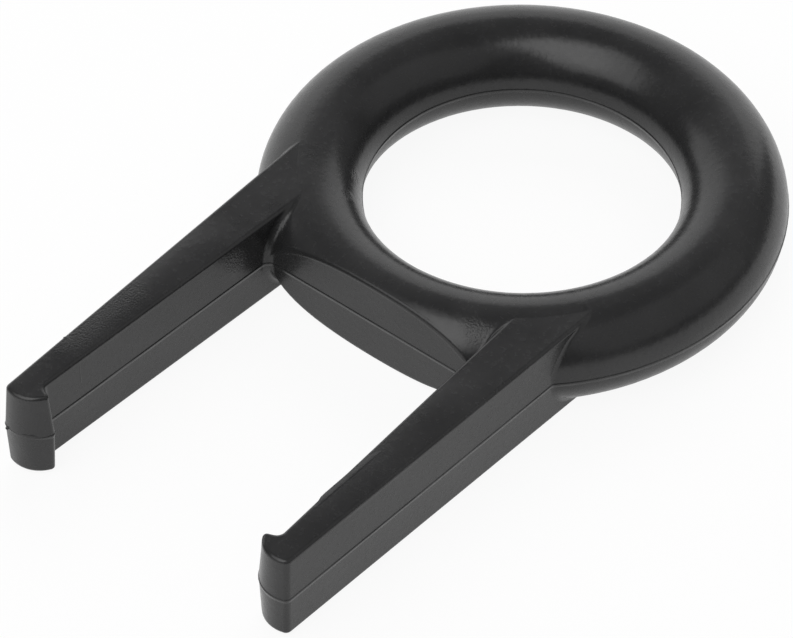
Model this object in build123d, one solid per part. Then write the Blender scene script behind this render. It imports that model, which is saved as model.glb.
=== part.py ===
"""One-piece moulded keycap puller: a finger ring that carries two hooked prongs.

The two halves of the mould meet in a level plane through the middle of the ring. Every upright wall
leans in from that parting plane, so each half is modelled upwards from it and one is mirrored down.
While it is being modelled, the ring's centre is the origin and the prongs point along -Y.
"""

import math
import os

from build123d import *

# Ring
ring_radius = 16.0  # from the ring's centre to the middle of its section
section_width = 8.0  # across the section, in the parting plane
section_height = 7.8  # through the section, from top to bottom

# Prongs, with widths taken in the parting plane
web_distance = 17.44  # from the ring's centre to the flat between the prongs
prong_length = 25.0  # from that flat to the foremost point of the noses
gap_at_web = 20.1  # between the prongs at the flat
gap_at_hooks = 22.2  # between the prongs just behind the hooks
width_at_web = 28.4  # over both prongs at the flat
width_at_noses = 27.05  # over both prongs at the noses
tip_height = 7.3  # through a prong at its nose
crest_step = 0.02  # the prongs' top lies this far below the ring's crest

# Hooks and noses at the prongs' tips
hook_reach = 1.4  # how far a hook stands in from its prong
hook_length = 2.33  # from the nose to the root of the hook's gripping face
grip_angle = 22.0  # lean of the gripping face, in degrees
nose_inset = 1.25  # from the prong's outer wall to the foremost point of the nose

# Draft, in degrees
draft_angle = 2.3  # prongs' walls
upper_nose_draft = 5.0  # noses above the parting plane
lower_nose_draft = 2.0  # noses below it
web_draft = 1.0  # flat between the prongs

# Rounding
rim_radius = 0.3  # edges along the top and bottom of the prongs
max_rim_share = 0.3  # most of a prong's top width that one rim takes
heel_radius = 0.5  # upright edge between the outer wall and the nose
hook_point_radius = 0.32  # upright edge at the point of a hook
hook_root_radius = 0.5  # inside corner between a hook and its prong
root_radius = 0.5  # blend between the prongs and the ring
web_relief = 0.15  # the flat stops this far short of the prongs' inner walls

# Places that follow from these sizes
web_y = -web_distance
nose_y = web_y - prong_length
hook_y = nose_y + hook_length
half_height = section_height / 2
outer_radius = ring_radius + section_width / 2
crest_height = half_height - crest_step


def along(start: tuple, end: tuple, y: float) -> float:
    """Return the value at y on the straight line through two (value, y) points."""
    return start[0] + (end[0] - start[0]) * (y - start[1]) / (end[1] - start[1])


def inner_wall(y: float) -> float:
    """Return the distance from the middle plane to a prong's inner wall at y."""
    return along((gap_at_web / 2, web_y), (gap_at_hooks / 2, hook_y), y)


def outer_wall(y: float) -> float:
    """Return the distance from the middle plane to a prong's outer wall at y."""
    return along((width_at_web / 2, web_y), (width_at_noses / 2, nose_y), y)


def top_level(y: float) -> float:
    """Return the height of a prong's top above the parting plane at y."""
    return along((crest_height, 0), (tip_height / 2, nose_y), y)


def top_width(y: float) -> float:
    """Return the width that the draft leaves at the top of a prong at y."""
    lean = top_level(y) * math.tan(math.radians(draft_angle))
    return outer_wall(y) - inner_wall(y) - 2 * lean


def distance_from_axis(point: Vector) -> float:
    """Return how far a point lies from the ring's axis."""
    return math.hypot(point.X, point.Y)


def rising_edges(solid: Part) -> ShapeList:
    """Return the edges that climb past the middle of a half's height."""
    rising = ShapeList()
    for edge in solid.edges():
        heights = [vertex.Z for vertex in edge.vertices()]
        if min(heights) < half_height / 2 < max(heights):
            rising.append(edge)
    return rising


def half_ring() -> Part:
    """One half of the ring, a low arch swept round the axis."""
    inside = (ring_radius - section_width / 2, 0)
    crown = (ring_radius, half_height)
    outside = (outer_radius, 0)
    arch = make_face([Line(inside, outside), ThreePointArc(outside, crown, inside)])
    return revolve(Plane.YZ * arch, Axis.Z)


def prong_outline() -> Sketch:
    """Outline of the +X prong in the parting plane, from the ring's crest to past the nose."""
    front_y = nose_y - hook_length
    hook_root = (inner_wall(hook_y), hook_y)
    hook_drop = hook_length * math.tan(math.radians(grip_angle))
    hook_end = (hook_root[0] - hook_length, hook_y - hook_drop)
    corners = [
        (inner_wall(0), 0),
        hook_root,
        hook_end,
        (hook_end[0], front_y),
        (outer_wall(front_y), front_y),
        (outer_wall(0), 0),
    ]
    outline = make_face(Polyline(*corners, close=True))
    inside_corner = outline.vertices().sort_by_distance((*hook_root, 0))[0]
    return fillet(inside_corner, hook_root_radius) - Circle(ring_radius)


def nose_waste(nose_draft: float) -> Part:
    """Space in front of the nose, which is round in plan and has a draft of its own."""
    nose_x = outer_wall(nose_y) - nose_inset
    nose_radius = nose_x - inner_wall(hook_y) + hook_reach
    front = Pos(nose_x, nose_y) * Rectangle(4 * nose_radius, 2 * nose_radius)
    nose = Pos(nose_x, nose_y + nose_radius) * Circle(nose_radius)
    return extrude(front, amount=section_height) - extrude(nose, amount=section_height, taper=nose_draft)


def half_prong(nose_draft: float) -> Part:
    """One half of the +X prong: the outline drawn up with draft, under a sloping top."""
    far_y = nose_y - hook_length
    blank = extrude(prong_outline(), amount=section_height, taper=draft_angle)
    profile = [(0, 0), (0, top_level(0)), (far_y, top_level(far_y)), (far_y, 0)]
    slab = extrude(Plane.YZ * make_face(Polyline(*profile, close=True)), amount=width_at_web)
    prong = (blank & slab) - nose_waste(nose_draft)
    prong = fillet(rising_edges(prong).sort_by(Axis.Y)[1], hook_point_radius)
    prong = fillet(rising_edges(prong).sort_by(Axis.Y)[0], heel_radius)
    top = prong.faces().sort_by(Axis.Z)[-1]
    rim = [edge for edge in top.edges() if distance_from_axis(edge.center()) > ring_radius + rim_radius]
    return fillet(rim, min(rim_radius, max_rim_share * top_width(hook_y)))


def web_cutter() -> Part:
    """Space taken off the front of the ring to leave the flat between the prongs."""
    width = gap_at_web - 2 * web_relief
    outline = Pos(0, web_y - prong_length / 2) * Rectangle(width, prong_length)
    outline = fillet(outline.vertices().group_by(Axis.Y)[-1], root_radius)
    return extrude(outline, amount=section_height, taper=-web_draft)


def half_puller(nose_draft: float) -> Part:
    """One half of the puller, with its prongs blended into the ring."""
    prong = half_prong(nose_draft)
    half = half_ring() + prong + mirror(prong, about=Plane.YZ)
    roots = [edge for edge in rising_edges(half) if distance_from_axis(edge.center()) < outer_radius]
    return fillet(roots, root_radius) - web_cutter()


def keycap_puller() -> Part:
    """The whole puller, resting on Z = 0 with its length centred on the origin."""
    lower_half = mirror(half_puller(lower_nose_draft), about=Plane.XY)
    whole = half_puller(upper_nose_draft) + lower_half
    return Pos(0, -(outer_radius + nose_y) / 2, half_height) * whole


os.makedirs("parts", exist_ok=True)
puller = keycap_puller()
export_step(puller, "parts/puller_body.step")
size = puller.bounding_box().size
print(f"puller_body: {size.X:.2f} x {size.Y:.2f} x {size.Z:.2f} mm, {puller.volume:.0f} mm3")
print(f"solids {len(puller.solids())}, valid {puller.is_valid}, centre of mass {puller.center()}")
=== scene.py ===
"""A moulded keycap puller: its plastic, the marks of its mould, a pale studio and the camera."""

import logging
import math
from dataclasses import dataclass
from enum import Enum

import bmesh
import bpy
from mathutils import Matrix, Vector, noise


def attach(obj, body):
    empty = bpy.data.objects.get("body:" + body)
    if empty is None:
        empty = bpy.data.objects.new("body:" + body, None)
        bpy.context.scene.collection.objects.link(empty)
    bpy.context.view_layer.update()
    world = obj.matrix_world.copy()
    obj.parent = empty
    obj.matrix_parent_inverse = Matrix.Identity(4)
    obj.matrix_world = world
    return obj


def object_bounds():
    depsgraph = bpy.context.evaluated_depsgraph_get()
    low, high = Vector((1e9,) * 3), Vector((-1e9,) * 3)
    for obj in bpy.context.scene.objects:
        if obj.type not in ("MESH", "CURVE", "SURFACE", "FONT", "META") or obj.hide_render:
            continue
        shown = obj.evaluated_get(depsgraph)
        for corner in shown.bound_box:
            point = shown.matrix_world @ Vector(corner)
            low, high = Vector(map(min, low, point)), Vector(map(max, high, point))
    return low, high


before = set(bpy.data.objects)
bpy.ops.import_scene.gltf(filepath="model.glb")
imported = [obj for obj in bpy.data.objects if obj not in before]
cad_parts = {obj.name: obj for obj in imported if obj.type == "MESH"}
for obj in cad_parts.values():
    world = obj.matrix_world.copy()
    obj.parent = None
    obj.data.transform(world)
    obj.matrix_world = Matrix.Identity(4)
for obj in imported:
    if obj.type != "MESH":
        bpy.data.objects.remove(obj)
CAD_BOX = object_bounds()

MM = 0.001
NODE = "puller_body"
BODY = "root"
WELD = 0.001 * MM
TIGHT_WELD = WELD / 10

log = logging.getLogger("keycap_puller")

Colour = tuple[float, float, float, float]
Place = tuple[float, float, float]
Span = tuple[float, float]
Spot = tuple[Place, float]


class Cut(Enum):
    """Ways that a plane can cut the puller, each by the plane's normal."""

    ACROSS = (1.0, 0.0, 0.0)
    CROSSWISE = (0.0, 1.0, 0.0)
    LEVEL = (0.0, 0.0, 1.0)


class Keep(Enum):
    """Which side of a cut is kept."""

    ABOVE = "clear_inner"
    BELOW = "clear_outer"


class Sum(Enum):
    """Ways to make one value of several."""

    PRODUCT = "MULTIPLY"
    LARGEST = "MAXIMUM"


Trim = tuple[Cut, float, Keep]


def grey(level: float) -> Colour:
    """Opaque neutral colour of one level."""
    return (level, level, level, 1.0)


def direction(azimuth: float, elevation: float) -> Vector:
    """Unit vector towards a point of the compass round the object.

    Args:
        azimuth: Degrees from -Y, growing towards +X.
        elevation: Degrees above the floor.

    Returns:
        The vector that points from the object to that place.
    """
    a = math.radians(azimuth)
    e = math.radians(elevation)
    return Vector((math.sin(a) * math.cos(e), -math.cos(a) * math.cos(e), math.sin(e)))


class Wiring:
    """Adds and joins the nodes of one node tree."""

    def __init__(self, tree: bpy.types.NodeTree) -> None:
        """Take the tree that the nodes go into."""
        self.tree = tree

    def add(self, kind: str, **values: object) -> bpy.types.Node:
        """Add a node.

        Args:
            kind: Type of the node, without its ShaderNode prefix.
            values: Settings of the node, or inputs by name with spaces as underscores.

        Returns:
            The new node.
        """
        node = self.tree.nodes.new("ShaderNode" + kind)
        for name, value in values.items():
            label = name.replace("_", " ")
            if label in node.inputs:
                node.inputs[label].default_value = value
            else:
                setattr(node, name, value)
        return node

    def join(self, source: bpy.types.NodeSocket, target: bpy.types.NodeSocket) -> None:
        """Link an output to an input."""
        self.tree.links.new(source, target)

    def fade(self, value: bpy.types.NodeSocket, start: float, end: float) -> bpy.types.NodeSocket:
        """Turn a measure into a soft step.

        Args:
            value: The measure.
            start: Where the step is still 0.
            end: Where it has reached 1.

        Returns:
            The step's output.
        """
        step = self.add("MapRange", interpolation_type="SMOOTHSTEP", From_Min=start, From_Max=end)
        self.join(value, step.inputs["Value"])
        return step.outputs["Result"]

    def combine(self, way: Sum, *values: bpy.types.NodeSocket) -> bpy.types.NodeSocket:
        """Make one value of several.

        Args:
            way: How they are combined.
            values: The values, at least one.

        Returns:
            The result's output.
        """
        result = values[0]
        for value in values[1:]:
            both = self.add("Math", operation=way.value)
            self.join(result, both.inputs[0])
            self.join(value, both.inputs[1])
            result = both.outputs[0]
        return result


@dataclass(frozen=True)
class Pattern:
    """Random pattern in the plastic, and its height where it is a relief."""

    scale: float
    detail: float
    height: float = 0.0

    def add(self, wiring: Wiring, place: bpy.types.NodeSocket) -> bpy.types.NodeSocket:
        """Add the pattern's texture.

        Args:
            wiring: Tree that it goes into.
            place: Coordinates that it is read at.

        Returns:
            The pattern's output.
        """
        texture = wiring.add("TexNoise", Scale=self.scale, Detail=self.detail)
        wiring.join(place, texture.inputs["Vector"])
        return texture.outputs["Fac"]


@dataclass(frozen=True)
class MouldedPlastic:
    """Black moulded plastic: a soft gloss with fine grain, and coarser in a few places."""

    name: str = "black_plastic"
    dark: Colour = (0.0175, 0.0175, 0.018, 1.0)
    worn: Colour = (0.026, 0.026, 0.0265, 1.0)
    worn_range: Span = (0.3, 0.75)
    ior: float = 1.5
    gloss: Span = (0.21, 0.29)
    gloss_range: Span = (0.3, 0.7)
    clouds: Pattern = Pattern(scale=240.0, detail=4.0)
    peel: Pattern = Pattern(scale=2400.0, detail=2.0, height=0.01 * MM)
    grain: Pattern = Pattern(scale=6500.0, detail=3.0, height=0.002 * MM)
    blotch: Pattern = Pattern(scale=6800.0, detail=4.0, height=0.05 * MM)
    blotch_stretch: Place = (1.0, 0.85, 1.0)
    patch_side: Span = (-11.0 * MM, -12.2 * MM)
    patch_least: float = 0.3
    patch_along: Span = (-24.2 * MM, -18.2 * MM)
    patch_fade: float = 2.5 * MM
    patch_level: float = 7.3 * MM
    patch_edge: float = 0.2 * MM
    spots: tuple[Spot, ...] = (
        ((8.6 * MM, -4.6 * MM, 7.3 * MM), 1.6 * MM),
        ((-10.3 * MM, -9.4 * MM, 6.2 * MM), 1.8 * MM),
        ((-9.9 * MM, -5.0 * MM, 6.8 * MM), 0.9 * MM),
        ((-8.2 * MM, 0.7 * MM, 6.7 * MM), 0.9 * MM),
        ((-9.8 * MM, 3.2 * MM, 5.6 * MM), 1.2 * MM),
    )
    spot_core: float = 0.3

    def patch(self, wiring: Wiring, place: bpy.types.NodeSocket) -> bpy.types.NodeSocket:
        """Mark the coarse stretch on top of the prongs and the coarse spots near their roots.

        Args:
            wiring: Tree that the mask goes into.
            place: Object coordinates.

        Returns:
            A value that is 1 where the plastic is coarse and 0 elsewhere.
        """
        split = wiring.add("SeparateXYZ")
        wiring.join(place, split.inputs[0])
        near, far = self.patch_along
        level = self.patch_level
        on_top = wiring.fade(split.outputs["Z"], level - self.patch_edge, level)
        after_tip = wiring.fade(split.outputs["Y"], near - self.patch_fade, near)
        before_ring = wiring.fade(split.outputs["Y"], far + self.patch_fade, far)
        inner, outer = self.patch_side
        sideways = wiring.add("MapRange", From_Min=inner, From_Max=outer, To_Min=self.patch_least)
        wiring.join(split.outputs["X"], sideways.inputs["Value"])
        stretch = (on_top, after_tip, before_ring, sideways.outputs["Result"])
        coarse = [wiring.combine(Sum.PRODUCT, *stretch)]
        for centre, radius in self.spots:
            apart = wiring.add("VectorMath", operation="DISTANCE")
            apart.inputs[1].default_value = centre
            wiring.join(place, apart.inputs[0])
            coarse.append(wiring.fade(apart.outputs["Value"], radius, self.spot_core * radius))
        return wiring.combine(Sum.LARGEST, *coarse)

    def material(self) -> bpy.types.Material:
        """Build the plastic's node tree.

        Returns:
            The finished material.
        """
        material = bpy.data.materials.new(self.name)
        material.use_nodes = True
        wiring = Wiring(material.node_tree)
        shader = material.node_tree.nodes["Principled BSDF"]
        shader.inputs["IOR"].default_value = self.ior
        place = wiring.add("TexCoord").outputs["Object"]
        clouds = self.clouds.add(wiring, place)
        peel = self.peel.add(wiring, place)
        grain = self.grain.add(wiring, place)
        stretch = wiring.add("Mapping", Scale=self.blotch_stretch)
        wiring.join(place, stretch.inputs["Vector"])
        blotch = self.blotch.add(wiring, stretch.outputs["Vector"])
        coarse = wiring.combine(Sum.PRODUCT, blotch, self.patch(wiring, place))

        tone = wiring.add("ValToRGB")
        colours = (self.dark, self.worn)
        for stop, position, colour in zip(tone.color_ramp.elements, self.worn_range, colours):
            stop.position = position
            stop.color = colour
        wiring.join(clouds, tone.inputs["Fac"])
        wiring.join(tone.outputs["Color"], shader.inputs["Base Color"])

        low, high = self.gloss_range
        smooth, rough = self.gloss
        sheen = wiring.add("MapRange", From_Min=low, From_Max=high, To_Min=smooth, To_Max=rough)
        wiring.join(peel, sheen.inputs["Value"])
        wiring.join(sheen.outputs["Result"], shader.inputs["Roughness"])

        normal = None
        for pattern, height in ((self.peel, peel), (self.grain, grain), (self.blotch, coarse)):
            relief = wiring.add("Bump", Strength=1.0, Distance=pattern.height)
            wiring.join(height, relief.inputs["Height"])
            if normal:
                wiring.join(normal, relief.inputs["Normal"])
            normal = relief.outputs["Normal"]
        wiring.join(normal, shader.inputs["Normal"])
        return material


def piece_from(
    form: bmesh.types.BMesh, name: str, material: bpy.types.Material
) -> bpy.types.Object:
    """Make a finished shape a piece that rides on the body.

    Args:
        form: The shape, which is used up.
        name: Name of the piece.
        material: Its finish.

    Returns:
        The piece's object.
    """
    bmesh.ops.recalc_face_normals(form, faces=form.faces[:])
    for face in form.faces:
        face.smooth = True
    mesh = bpy.data.meshes.new(name)
    form.to_mesh(mesh)
    form.free()
    mesh.materials.append(material)
    piece = bpy.data.objects.new(name, mesh)
    bpy.context.scene.collection.objects.link(piece)
    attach(piece, BODY)
    return piece


class BodyCopy:
    """A welded copy of the CAD body's mesh, to be cut down to what a piece follows.

    Two layers on its vertices say which way is out of the body and which is to a line's side.
    """

    def __init__(self, node: bpy.types.Object) -> None:
        """Copy the node's mesh and weld its loose triangles.

        Args:
            node: The CAD body.
        """
        self.form = bmesh.new()
        self.form.from_mesh(node.data)
        self.outward = self.form.verts.layers.float_vector.new("outward")
        self.side = self.form.verts.layers.float_vector.new("side")
        bmesh.ops.remove_doubles(self.form, verts=self.form.verts[:], dist=WELD)
        self.form.normal_update()

    def cut(self, cut: Cut, place: float, keep: Keep | None = None) -> None:
        """Cut the surface by a plane.

        Args:
            cut: Which way the plane faces.
            place: Where it lies along its normal, in metres.
            keep: Side that stays, or both when not given.
        """
        normal = Vector(cut.value)
        whole = self.form.verts[:] + self.form.edges[:] + self.form.faces[:]
        dropped = {keep.value: True} if keep else {}
        bmesh.ops.bisect_plane(
            self.form, geom=whole, dist=WELD, plane_co=normal * place, plane_no=normal, **dropped
        )

    def reduce_to(self, edges: set[bmesh.types.BMEdge]) -> None:
        """Delete everything but some edges."""
        spare = [edge for edge in self.form.edges if edge not in edges]
        bmesh.ops.delete(self.form, geom=spare, context="EDGES")

    def section(self, cut: Cut, place: float) -> None:
        """Leave only the line where a plane meets the surface.

        Args:
            cut: Which way the plane faces.
            place: Where it lies along its normal, in metres.
        """
        normal = Vector(cut.value)
        self.cut(cut, place)
        on_plane = {v for v in self.form.verts if abs(v.co.dot(normal) - place) < WELD}
        for vert in on_plane:
            flat = vert.normal - normal * vert.normal.dot(normal)
            vert[self.outward] = flat.normalized()
            vert[self.side] = normal
        self.reduce_to({edge for edge in self.form.edges if on_plane.issuperset(edge.verts)})

    def creases(self, least_turn: float) -> None:
        """Leave only the sharp edges of the surface.

        The layers are scaled so that a step of (-1, -1) runs down one face of an edge and
        (1, -1) down the other.

        Args:
            least_turn: Smallest angle between two faces that counts as sharp, in radians.
        """
        sharp = {
            edge for edge in self.form.edges
            if edge.is_manifold and edge.calc_face_angle() > least_turn
        }
        for vert in {vert for edge in sharp for vert in edge.verts}:
            out, along, turns = Vector(), Vector(), []
            for edge in vert.link_edges:
                if edge in sharp:
                    step = edge.other_vert(vert).co - vert.co
                    along += step if step.x > 0 else -step
                    out += edge.link_faces[0].normal + edge.link_faces[1].normal
                    turns.append(edge.calc_face_angle() / 2)
            turn = sum(turns) / len(turns)
            vert[self.outward] = out.normalized() * math.sin(turn)
            vert[self.side] = out.cross(along).normalized() * math.cos(turn)
        self.reduce_to(sharp)


@dataclass(frozen=True, kw_only=True)
class Bead:
    """Thin ridge of plastic along a line on the body."""

    name: str
    trims: tuple[Trim, ...] = ()
    taper: float = 0.5 * MM
    end_share: float = 0.05
    unevenness: float = 0.25
    stride: float = 0.5 * MM
    wave: float = 500.0
    worn: tuple[Spot, ...] = ()
    worn_share: float = 0.15

    def trace(self, copy: BodyCopy) -> None:
        """Cut the copy down to the ridge's line."""
        raise NotImplementedError

    def profile(self) -> list[Span]:
        """Corners of the ridge's section, each to the side of the line and out of the body."""
        raise NotImplementedError

    def settle(self, copy: BodyCopy) -> None:
        """Divide the line evenly, thin it at its ends and worn places, and make it uneven.

        Args:
            copy: The copy, cut down to the line.
        """
        for edge in copy.form.edges[:]:
            cuts = int(edge.calc_length() / self.stride)
            if cuts:
                bmesh.ops.subdivide_edges(copy.form, edges=[edge], cuts=cuts)
        ends = [vert.co.copy() for vert in copy.form.verts if len(vert.link_edges) == 1]
        for vert in copy.form.verts:
            to_ends = [self.end_share + (vert.co - end).length / self.taper for end in ends]
            share = min([1.0] + to_ends)
            for centre, radius in self.worn:
                apart = (vert.co - Vector(centre)).length / radius
                share *= min(1.0, self.worn_share + apart ** 2)
            vert[copy.side] *= share
            vert[copy.outward] *= share * (1 + self.unevenness * noise.noise(vert.co * self.wave))

    def build(self, node: bpy.types.Object, material: bpy.types.Material) -> bpy.types.Object:
        """Raise the ridge along its line.

        Args:
            node: The CAD body.
            material: Finish of the ridge.

        Returns:
            The ridge's object.
        """
        copy = BodyCopy(node)
        for cut, place, keep in self.trims:
            copy.cut(cut, place, keep)
        self.trace(copy)
        self.settle(copy)
        form = copy.form
        corners = self.profile()
        moving, rail, here = form.verts[:], form.edges[:], None
        for corner in corners + corners[:1]:
            if here:
                made = bmesh.ops.extrude_edge_only(form, edges=rail)["geom"]
                moving = [part for part in made if isinstance(part, bmesh.types.BMVert)]
                edges = [part for part in made if isinstance(part, bmesh.types.BMEdge)]
                rail = [edge for edge in edges if edge.is_boundary]
            start = here or (0.0, 0.0)
            aside, out = corner[0] - start[0], corner[1] - start[1]
            for vert in moving:
                vert.co += vert[copy.side] * aside + vert[copy.outward] * out
            here = corner
        bmesh.ops.remove_doubles(form, verts=form.verts[:], dist=TIGHT_WELD)
        bmesh.ops.holes_fill(form, edges=[edge for edge in form.edges if edge.is_boundary])
        return piece_from(form, self.name, material)


@dataclass(frozen=True, kw_only=True)
class MouldLine(Bead):
    """Ridge that a joint in the mould leaves, with a slow ramp, a short drop and sunk feet.

    The two shapes give its corners as shares of the ramp or the drop and of the height.
    """

    cut: Cut
    place: float
    ramp: float
    drop: float
    proud: float
    ramp_shape: tuple[Span, ...] = ((-1.2, -0.5), (-1.0, 0.0), (-0.15, 0.9), (0.0, 1.0))
    drop_shape: tuple[Span, ...] = ((0.3, 0.8), (1.0, 0.0), (1.3, -0.5))

    def trace(self, copy: BodyCopy) -> None:
        """Follow the line where the joint's plane meets the body."""
        copy.section(self.cut, self.place)

    def profile(self) -> list[Span]:
        """Corners of the ramp, the crest and the drop, with both feet sunk in the body."""
        rise = [(aside * self.ramp, out * self.proud) for aside, out in self.ramp_shape]
        return rise + [(aside * self.drop, out * self.proud) for aside, out in self.drop_shape]


@dataclass(frozen=True, kw_only=True)
class EdgeBlend(Bead):
    """Thin smooth strip that lies over a sharp edge of the body and rounds it off.

    Each reach says how far the strip lies on that face and where its foot is sunk.
    """

    flat_reach: Span
    arched_reach: Span
    lift: float = 0.01 * MM
    least_turn: float = 0.2
    flat_sink: float = 1.06
    arched_sink: Span = (1.02, 1.35)

    def trace(self, copy: BodyCopy) -> None:
        """Follow the sharp edges that the trims leave."""
        copy.creases(self.least_turn)

    def profile(self) -> list[Span]:
        """Corners of the strip from the flat face over the edge to the arched one.

        Returns:
            The corners, the first and the last of them sunk in the body.
        """
        near, foot = self.flat_reach
        flat_side = [(-foot, -self.flat_sink * foot), (-near, self.lift - near)]
        arched = zip(self.arched_reach, self.arched_sink)
        arched_side = [(reach, -sink * reach) for reach, sink in arched]
        return flat_side + [(0.0, self.lift)] + arched_side


@dataclass(frozen=True)
class ProngCrown:
    """Slight dome on the flat top of one prong, fading out at the nose and before the ring."""

    name: str
    prong: Keep
    radius: float = 11.5 * MM
    ends: tuple[float, float, float, float] = (-31.0 * MM, -29.5 * MM, -12.0 * MM, -7.0 * MM)
    gauges: Span = (-27.0 * MM, -13.0 * MM)
    least_level: float = 7.0 * MM
    least_upward: float = 0.9995
    one_plane: float = 0.01
    least_edge: float = 0.01 * MM
    across_step: float = 0.15 * MM
    along_step: float = 0.5 * MM
    sink: float = 0.001 * MM
    root_depth: float = 0.05 * MM

    def sheet(self, node: bpy.types.Object) -> bmesh.types.BMesh:
        """Copy the prong's flat top and divide it into a grid.

        Args:
            node: The CAD body.

        Returns:
            The open sheet.
        """
        copy = BodyCopy(node)
        form = copy.form
        copy.cut(Cut.ACROSS, 0.0, self.prong)
        copy.cut(Cut.CROSSWISE, self.ends[0], Keep.ABOVE)
        copy.cut(Cut.CROSSWISE, self.ends[-1], Keep.BELOW)
        copy.cut(Cut.LEVEL, self.least_level, Keep.ABOVE)
        steep = [face for face in form.faces if face.normal.z < self.least_upward]
        bmesh.ops.delete(form, geom=steep, context="FACES")
        bmesh.ops.dissolve_limit(
            form, angle_limit=self.one_plane, verts=form.verts[:], edges=form.edges[:]
        )
        for gauge in self.gauges:
            copy.cut(Cut.CROSSWISE, gauge)
        steps = ((Cut.ACROSS, 0, self.across_step), (Cut.CROSSWISE, 1, self.along_step))
        for cut, axis, step in steps:
            places = [vert.co[axis] for vert in form.verts]
            for count in range(math.ceil(min(places) / step), math.ceil(max(places) / step)):
                copy.cut(cut, count * step)
        bmesh.ops.remove_doubles(form, verts=form.verts[:], dist=self.least_edge)
        return form

    def fade(self, along: float) -> float:
        """Share of the dome's height at one place along the prong.

        Args:
            along: The place along Y, in metres.

        Returns:
            A soft step from 0 at both ends to 1 between them.
        """
        nose, tip, root, ring = self.ends
        share = min((along - nose) / (tip - nose), (ring - along) / (ring - root))
        share = max(0.0, min(1.0, share))
        return share * share * (3 - 2 * share)

    def build(self, node: bpy.types.Object, material: bpy.types.Material) -> bpy.types.Object:
        """Raise the dome and close it inside the body.

        Args:
            node: The CAD body.
            material: Finish of the dome.

        Returns:
            The dome's object.
        """
        form = self.sheet(node)
        borders = []
        for gauge in self.gauges:
            places = [vert.co.x for vert in form.verts if abs(vert.co.y - gauge) < WELD]
            borders.append((min(places), max(places)))
        for edge in form.edges:
            edge.smooth = not edge.is_boundary
        top = form.verts[:]
        made = bmesh.ops.extrude_face_region(form, geom=form.faces[:])["geom"]
        for part in made:
            if isinstance(part, bmesh.types.BMVert):
                part.co.z -= self.root_depth
        near, far = self.gauges
        for vert in top:
            share = (vert.co.y - near) / (far - near)
            left, right = (first + share * (last - first) for first, last in zip(*borders))
            rise = (vert.co.x - left) * (right - vert.co.x) / (2 * self.radius)
            vert.co.z += self.fade(vert.co.y) * max(rise, -self.root_depth / 2) - self.sink
        return piece_from(form, self.name, material)


@dataclass(frozen=True)
class FlashNub:
    """Small bead of flash where the parting line turns the outer corner of one tip."""

    name: str = "flash_nub"
    place: Place = (-13.02 * MM, -31.06 * MM, 3.82 * MM)
    radius: float = 0.17 * MM
    stretch: Place = (0.8, 1.3, 0.75)
    unevenness: float = 0.3
    fineness: int = 3

    def build(self, material: bpy.types.Material) -> bpy.types.Object:
        """Shape the bead.

        Args:
            material: Finish of the bead.

        Returns:
            The bead's object.
        """
        form = bmesh.new()
        bmesh.ops.create_icosphere(form, subdivisions=self.fineness, radius=self.radius)
        for vert in form.verts:
            vert.co *= 1 + self.unevenness * noise.noise(vert.co / self.radius)
        bmesh.ops.scale(form, vec=self.stretch, verts=form.verts[:])
        bmesh.ops.translate(form, vec=self.place, verts=form.verts[:])
        return piece_from(form, self.name, material)


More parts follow.
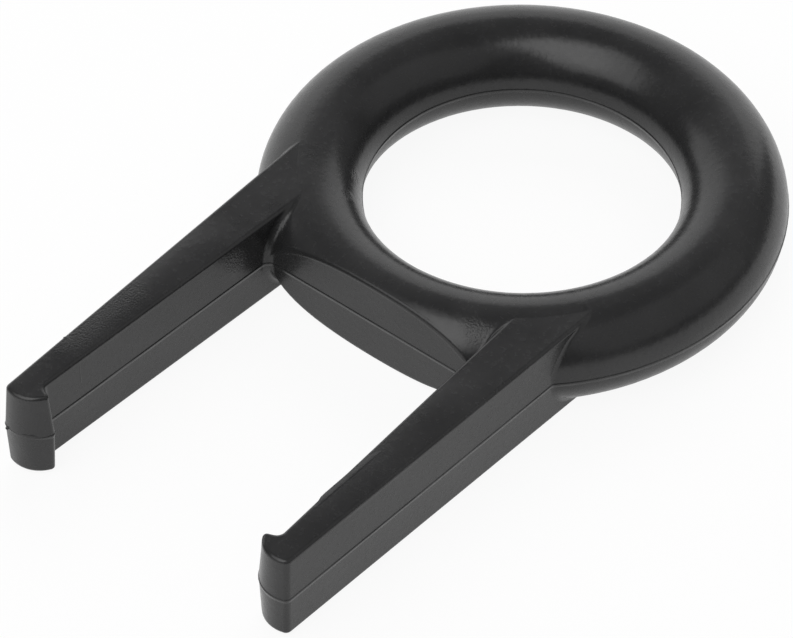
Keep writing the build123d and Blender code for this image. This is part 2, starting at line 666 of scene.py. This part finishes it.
@dataclass(frozen=True)
class KeycapPuller:
    """The puller: the CAD body in its plastic, its domed tops and the marks of the mould."""

    plastic: MouldedPlastic = MouldedPlastic()
    crowns: tuple[ProngCrown, ...] = (
        ProngCrown("left_crown", Keep.BELOW),
        ProngCrown("right_crown", Keep.ABOVE),
    )
    beads: tuple[Bead, ...] = (
        MouldLine(
            name="parting_line",
            cut=Cut.LEVEL, place=3.9 * MM,
            ramp=0.25 * MM, drop=0.1 * MM, proud=0.045 * MM,
            unevenness=0.45, wave=300.0,
            worn=(((-11.6 * MM, -31.0 * MM, 3.9 * MM), 2.2 * MM),),
        ),
        EdgeBlend(
            name="flat_edge",
            trims=(
                (Cut.CROSSWISE, -5.7 * MM, Keep.BELOW),
                (Cut.ACROSS, -9.3 * MM, Keep.ABOVE),
                (Cut.ACROSS, 9.3 * MM, Keep.BELOW),
            ),
            flat_reach=(0.36 * MM, 0.62 * MM), arched_reach=(0.2 * MM, 0.34 * MM),
            taper=0.8 * MM, unevenness=0.0,
        ),
        MouldLine(
            name="wall_tick",
            cut=Cut.CROSSWISE, place=-25.4 * MM,
            trims=(
                (Cut.ACROSS, -12.0 * MM, Keep.ABOVE),
                (Cut.ACROSS, -9.0 * MM, Keep.BELOW),
                (Cut.LEVEL, 5.0 * MM, Keep.ABOVE),
                (Cut.LEVEL, 7.3 * MM, Keep.BELOW),
            ),
            ramp=0.05 * MM, drop=0.1 * MM, proud=0.012 * MM,
        ),
        MouldLine(
            name="nose_mark",
            cut=Cut.LEVEL, place=4.0 * MM,
            trims=(
                (Cut.ACROSS, -11.7 * MM, Keep.ABOVE),
                (Cut.ACROSS, -10.5 * MM, Keep.BELOW),
                (Cut.CROSSWISE, -29.5 * MM, Keep.BELOW),
            ),
            ramp=0.06 * MM, drop=0.2 * MM, proud=0.06 * MM, taper=0.45 * MM,
        ),
        MouldLine(
            name="rim_tick",
            cut=Cut.CROSSWISE, place=-24.4 * MM,
            trims=((Cut.ACROSS, -12.4 * MM, Keep.BELOW), (Cut.LEVEL, 7.3 * MM, Keep.ABOVE)),
            ramp=0.08 * MM, drop=0.2 * MM, proud=0.05 * MM, taper=0.2 * MM,
        ),
        MouldLine(
            name="rim_flash",
            cut=Cut.ACROSS, place=11.5 * MM,
            trims=(
                (Cut.CROSSWISE, -25.9 * MM, Keep.ABOVE),
                (Cut.CROSSWISE, -17.3 * MM, Keep.BELOW),
                (Cut.LEVEL, 7.0 * MM, Keep.ABOVE),
            ),
            ramp=0.4 * MM, drop=0.1 * MM, proud=0.054 * MM, taper=1.6 * MM,
        ),
    )
    nub: FlashNub = FlashNub()

    def build(self) -> list[bpy.types.Object]:
        """Dress the body and add the domes and the marks.

        Returns:
            The body and the new pieces.
        """
        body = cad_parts[NODE]
        material = self.plastic.material()
        body.material_slots[0].material = material
        pieces = [part.build(body, material) for part in self.crowns + self.beads]
        pieces.append(self.nub.build(material))
        return [body, *pieces]


@dataclass(frozen=True)
class PaleFloor:
    """White floor that keeps a faint shadow and looks white to the camera, less so in gloss."""

    name: str = "pale_floor"
    white: Colour = grey(0.9)
    camera_glow: float = 0.92
    gloss_glow: float = 0.6

    def material(self) -> bpy.types.Material:
        """Build the floor's node tree.

        Returns:
            The finished material.
        """
        material = bpy.data.materials.new(self.name)
        material.use_nodes = True
        material.node_tree.nodes.clear()
        wiring = Wiring(material.node_tree)
        output = wiring.add("OutputMaterial")
        diffuse = wiring.add("BsdfDiffuse", Color=self.white)
        emission = wiring.add("Emission", Color=grey(1.0))
        rays = wiring.add("LightPath")
        in_gloss = wiring.add("MapRange", To_Max=self.gloss_glow)
        wiring.join(rays.outputs["Is Glossy Ray"], in_gloss.inputs["Value"])
        share = wiring.add("MapRange", To_Max=self.camera_glow)
        wiring.join(rays.outputs["Is Camera Ray"], share.inputs["Value"])
        wiring.join(in_gloss.outputs["Result"], share.inputs["To Min"])
        mix = wiring.add("MixShader")
        wiring.join(share.outputs["Result"], mix.inputs["Fac"])
        wiring.join(diffuse.outputs[0], mix.inputs[1])
        wiring.join(emission.outputs[0], mix.inputs[2])
        wiring.join(mix.outputs[0], output.inputs["Surface"])
        return material


@dataclass(frozen=True)
class SoftBox:
    """One soft area lamp, placed by where it stands round the object."""

    name: str
    azimuth: float
    elevation: float
    width: float
    height: float
    radiance: float
    in_gloss: bool = True
    distance: float = 0.9

    def build(self) -> bpy.types.Object:
        """Hang the lamp so that it faces the object.

        Returns:
            The lamp's object.
        """
        lamp = bpy.data.lights.new(self.name, "AREA")
        lamp.shape = "RECTANGLE"
        lamp.size = self.width
        lamp.size_y = self.height
        lamp.energy = self.radiance * self.width * self.height * math.pi
        towards = direction(self.azimuth, self.elevation)
        holder = bpy.data.objects.new(self.name, lamp)
        holder.location = towards * self.distance
        holder.rotation_euler = towards.to_track_quat("Z", "Y").to_euler()
        holder.visible_camera = False
        holder.visible_glossy = self.in_gloss
        bpy.context.scene.collection.objects.link(holder)
        return holder


@dataclass(frozen=True)
class Studio:
    """Pale floor, dim room and soft lamps."""

    surface: PaleFloor = PaleFloor()
    floor_side: float = 6.0
    room: float = 0.13
    lamps: tuple[SoftBox, ...] = (
        SoftBox(
            "key_softbox", azimuth=-10.0, elevation=53.0, width=0.86, height=1.1, radiance=1.4
        ),
        SoftBox("key_core", azimuth=3.0, elevation=58.0, width=0.54, height=0.75, radiance=0.8),
        SoftBox("back_card", azimuth=-130.0, elevation=16.0, width=1.9, height=0.72, radiance=0.85),
        SoftBox("right_card", azimuth=105.0, elevation=42.0, width=1.3, height=0.9, radiance=0.3),
        SoftBox(
            "floor_light", azimuth=-155.0, elevation=34.0, width=1.0, height=0.7, radiance=3.0,
            in_gloss=False,
        ),
    )

    def floor(self) -> None:
        """Lay the floor under the object."""
        form = bmesh.new()
        bmesh.ops.create_grid(form, x_segments=1, y_segments=1, size=self.floor_side / 2)
        mesh = bpy.data.meshes.new("floor")
        form.to_mesh(mesh)
        form.free()
        floor = bpy.data.objects.new("floor", mesh)
        mesh.materials.append(self.surface.material())
        bpy.context.scene.collection.objects.link(floor)

    def surroundings(self) -> None:
        """Make the room dim for the object and white for the camera."""
        world = bpy.data.worlds.new("studio")
        world.use_nodes = True
        wiring = Wiring(world.node_tree)
        background = world.node_tree.nodes["Background"]
        background.inputs["Color"].default_value = grey(1.0)
        level = wiring.add("MapRange", To_Min=self.room, To_Max=1.0)
        wiring.join(wiring.add("LightPath").outputs["Is Camera Ray"], level.inputs["Value"])
        wiring.join(level.outputs["Result"], background.inputs["Strength"])
        bpy.context.scene.world = world

    def build(self) -> None:
        """Set up the floor, the room and every lamp."""
        self.floor()
        self.surroundings()
        for lamp in self.lamps:
            lamp.build()


@dataclass(frozen=True)
class PhotoCamera:
    """Camera at the photograph's viewing angle, placed from where the ring's centre shows."""

    azimuth: float = 40.74
    elevation: float = 44.58
    roll: float = -0.59
    depth: float = 366.4 * MM
    scale: float = 13.308 / MM
    ring_pixel: Span = (521.9, 196.53)
    frame_pixels: tuple[int, int] = (793, 638)
    sensor: float = 36.0
    clip_share: float = 0.1

    def build(self, ring_centre: Vector) -> bpy.types.Object:
        """Place the camera.

        Args:
            ring_centre: Centre of the finger ring, in metres.

        Returns:
            The camera's object.
        """
        width, height = self.frame_pixels
        back = direction(self.azimuth, self.elevation)
        level = back.to_track_quat("Z", "Y").to_matrix()
        turned = level @ Matrix.Rotation(math.radians(self.roll), 3, "Z")
        across = (self.ring_pixel[0] - width / 2) / self.scale
        above = (height / 2 - self.ring_pixel[1]) / self.scale
        lens = bpy.data.cameras.new("photo_camera")
        lens.sensor_width = self.sensor
        lens.lens = self.depth * self.scale * self.sensor / width
        lens.clip_start = self.depth * self.clip_share
        camera = bpy.data.objects.new("photo_camera", lens)
        eye = ring_centre + turned @ Vector((-across, -above, self.depth))
        camera.matrix_world = Matrix.Translation(eye) @ turned.to_4x4()
        bpy.context.scene.collection.objects.link(camera)
        bpy.context.scene.camera = camera
        return camera


def main() -> None:
    """Build the puller, light it and place the camera."""
    logging.basicConfig(level=logging.INFO, format="%(name)s: %(message)s")
    low, high = CAD_BOX
    outer_radius = (high.x - low.x) / 2
    ring_centre = Vector(((low.x + high.x) / 2, high.y - outer_radius, (low.z + high.z) / 2))
    for piece in KeycapPuller().build():
        log.info("%s: %d faces", piece.name, len(piece.data.polygons))
    Studio().build()
    camera = PhotoCamera().build(ring_centre)
    eye = tuple(round(v, 4) for v in camera.location)
    log.info("camera at %s, lens %.2f", eye, camera.data.lens)
    bpy.context.scene.view_settings.view_transform = "Standard"


if __name__ == "__main__":
    main()
